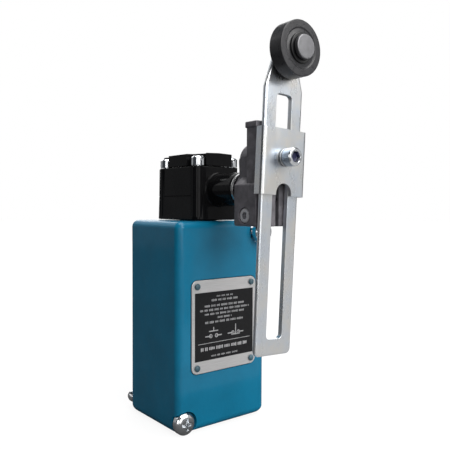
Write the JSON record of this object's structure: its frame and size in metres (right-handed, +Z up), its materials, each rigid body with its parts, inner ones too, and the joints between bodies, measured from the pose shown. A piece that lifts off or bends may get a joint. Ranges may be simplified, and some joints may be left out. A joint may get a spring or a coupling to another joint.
{
  "type": "limit switch",
  "caption": "Side rotary limit switch with a blue die-cast box, a black turret head and an adjustable slotted lever that carries a roller.",
  "frame": {"origin": "centre of the outer face of the rear plate, which sits against the machine", "axes": "+Z up along the box towards the head and the roller, +Y back into the machine that carries the switch, +X to the right as seen facing the nameplate"},
  "size_m": [0.0448, 0.0841, 0.15],
  "materials": {
    "body_paint": "satin enamel over die casting",
    "seal_rubber": "matte",
    "zinc_fasteners": "zinc plated",
    "bright_screws": "bright plated",
    "nameplate_aluminium": "satin with a black field",
    "rivet_aluminium": "satin",
    "head_enamel": "gloss black enamel",
    "bushing_steel": "turned",
    "contact_bronze": "rolled strip",
    "dark_steel": "oiled, turned",
    "spring_steel": "drawn wire",
    "hub_casting": "grey cast zinc, tumbled",
    "lever_zinc": "bright zinc plated, rolled edges",
    "pin_steel": "turned head",
    "roller_plastic": "satin nylon",
    "plunger_plastic": "natural acetal",
    "phenolic": "moulded",
    "terminal_brass": "stamped"
  },
  "bodies": {
    "base": {"housing": "body_paint", "rear_plate": "body_paint", "rear_gasket": "seal_rubber", "rear_plate_screw_1": "zinc_fasteners", "rear_plate_screw_2": "zinc_fasteners", "rear_plate_screw_3": "zinc_fasteners", "rear_plate_screw_4": "zinc_fasteners", "mounting_screw_lower": "bright_screws", "mounting_screw_upper": "bright_screws", "nameplate": "nameplate_aluminium", "nameplate_rivet_1": "rivet_aluminium", "nameplate_rivet_2": "rivet_aluminium", "nameplate_rivet_3": "rivet_aluminium", "nameplate_rivet_4": "rivet_aluminium", "head_housing": "head_enamel", "head_cover": "head_enamel", "head_screw_1": "bright_screws", "head_screw_2": "bright_screws", "head_screw_3": "bright_screws", "head_screw_4": "bright_screws", "turret_seal": "seal_rubber", "shaft_bushing": "bushing_steel", "shaft_seal": "seal_rubber", "return_spring": "spring_steel", "plunger_spring": "spring_steel", "switch_case": "phenolic", "switch_cover": "phenolic", "switch_fixing_screw_1": "zinc_fasteners", "switch_fixing_screw_2": "zinc_fasteners", "terminal_1": "terminal_brass", "terminal_2": "terminal_brass", "terminal_3": "terminal_brass", "terminal_4": "terminal_brass", "terminal_screw_1": "zinc_fasteners", "terminal_screw_2": "zinc_fasteners", "terminal_screw_3": "zinc_fasteners", "terminal_screw_4": "zinc_fasteners", "ground_screw": "zinc_fasteners"},
    "rotor": {"shaft": "dark_steel", "cam": "dark_steel", "shaft_retaining_ring": "dark_steel", "lever_hub": "hub_casting", "hub_clamp_screw": "zinc_fasteners", "saddle_nut": "zinc_fasteners", "saddle_clamp": "lever_zinc", "saddle_lock_washer": "zinc_fasteners", "saddle_cap_screw": "bright_screws"},
    "arm": {"slotted_arm": "lever_zinc", "roller_pin": "pin_steel"},
    "roller": {"roller": "roller_plastic"},
    "plunger": {"plunger": "plunger_plastic"},
    "button": {"switch_button": "plunger_plastic", "contact_blade": "contact_bronze"}
  },
  "joints": [
    {"name": "shaft_turn", "type": "hinge", "parent": "base", "child": "rotor", "pos_m": [0, -0.0472, 0.0524], "axis": [0, 1, 0], "range_deg": [0, 75], "stiffness_Nm_per_rad": 0.12, "springref_deg": -40.11},
    {"name": "arm_slide", "type": "slide", "parent": "rotor", "child": "arm", "axis": [0.0523, 0, 0.9986], "range_m": [-0.009, 0.0418]},
    {"name": "roller_spin", "type": "hinge", "parent": "arm", "child": "roller", "pos_m": [0.00192, -0.0732, 0.0995], "axis": [0, 1, 0], "continuous": true},
    {"name": "plunger_slide", "type": "slide", "parent": "base", "child": "plunger", "axis": [0, 0, -1], "range_m": [0, 0.0024], "deforming": ["plunger_spring"]},
    {"name": "button_slide", "type": "slide", "parent": "base", "child": "button", "axis": [0, 0, -1], "range_m": [0, 0.0022]}
  ],
  "couplings": [
    {"joint": "plunger_slide", "follows": "shaft_turn", "m_per_rad": 0.001833},
    {"joint": "button_slide", "follows": "shaft_turn", "m_per_rad": 0.00168}
  ]
}
